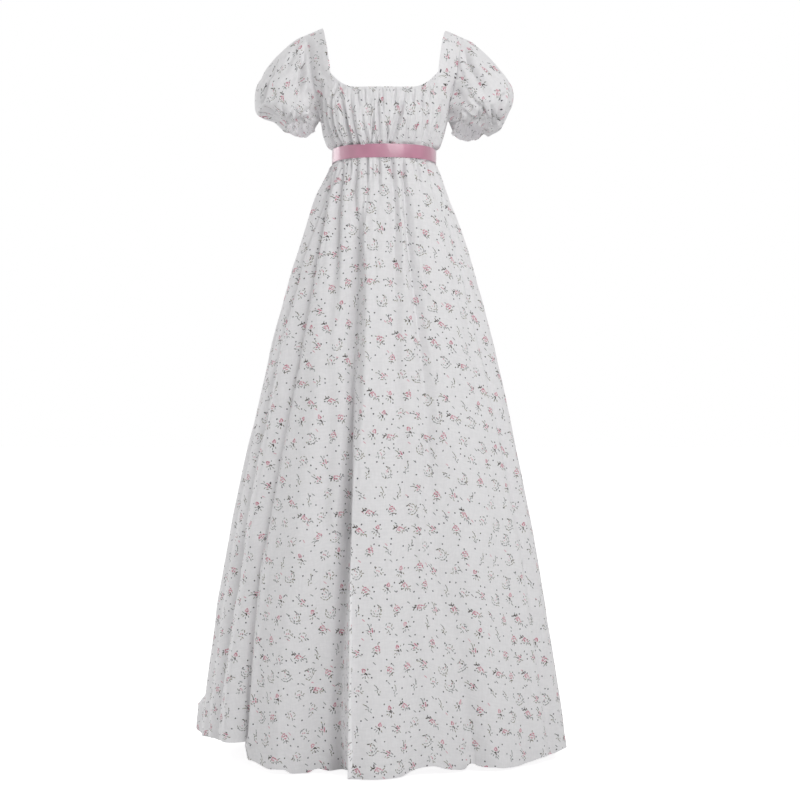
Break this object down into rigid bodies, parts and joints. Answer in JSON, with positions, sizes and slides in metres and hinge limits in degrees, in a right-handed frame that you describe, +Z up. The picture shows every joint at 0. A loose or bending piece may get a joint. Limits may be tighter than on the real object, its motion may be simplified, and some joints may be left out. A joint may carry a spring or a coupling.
{
  "type": "regency gown",
  "caption": "Floor-length gown in printed white cotton with a square scoop neck, gathered bodice, short puff sleeves, pink satin ribbon at the raised waist and a full gathered skirt.",
  "frame": {"origin": "midway between the two shoulder tops, where the wearer holds the gown up", "axes": "+Z up, the front faces -Y, +X to the right as seen from the front"},
  "size_m": [0.7541, 0.6841, 1.5032],
  "materials": {
    "printed_cotton": "matt white cotton with a small print of pink rosebuds, grey-green leaves and dots",
    "pink_satin": "dusty pink satin ribbon, soft sheen"
  },
  "bodies": {
    "root": {"bodice_front": "printed_cotton", "bodice_back": "printed_cotton", "sleeve_left": "printed_cotton", "sleeve_right": "printed_cotton", "skirt_front": "printed_cotton", "skirt_back": "printed_cotton", "ribbon_sash": "pink_satin"}
  },
  "joints": []
}
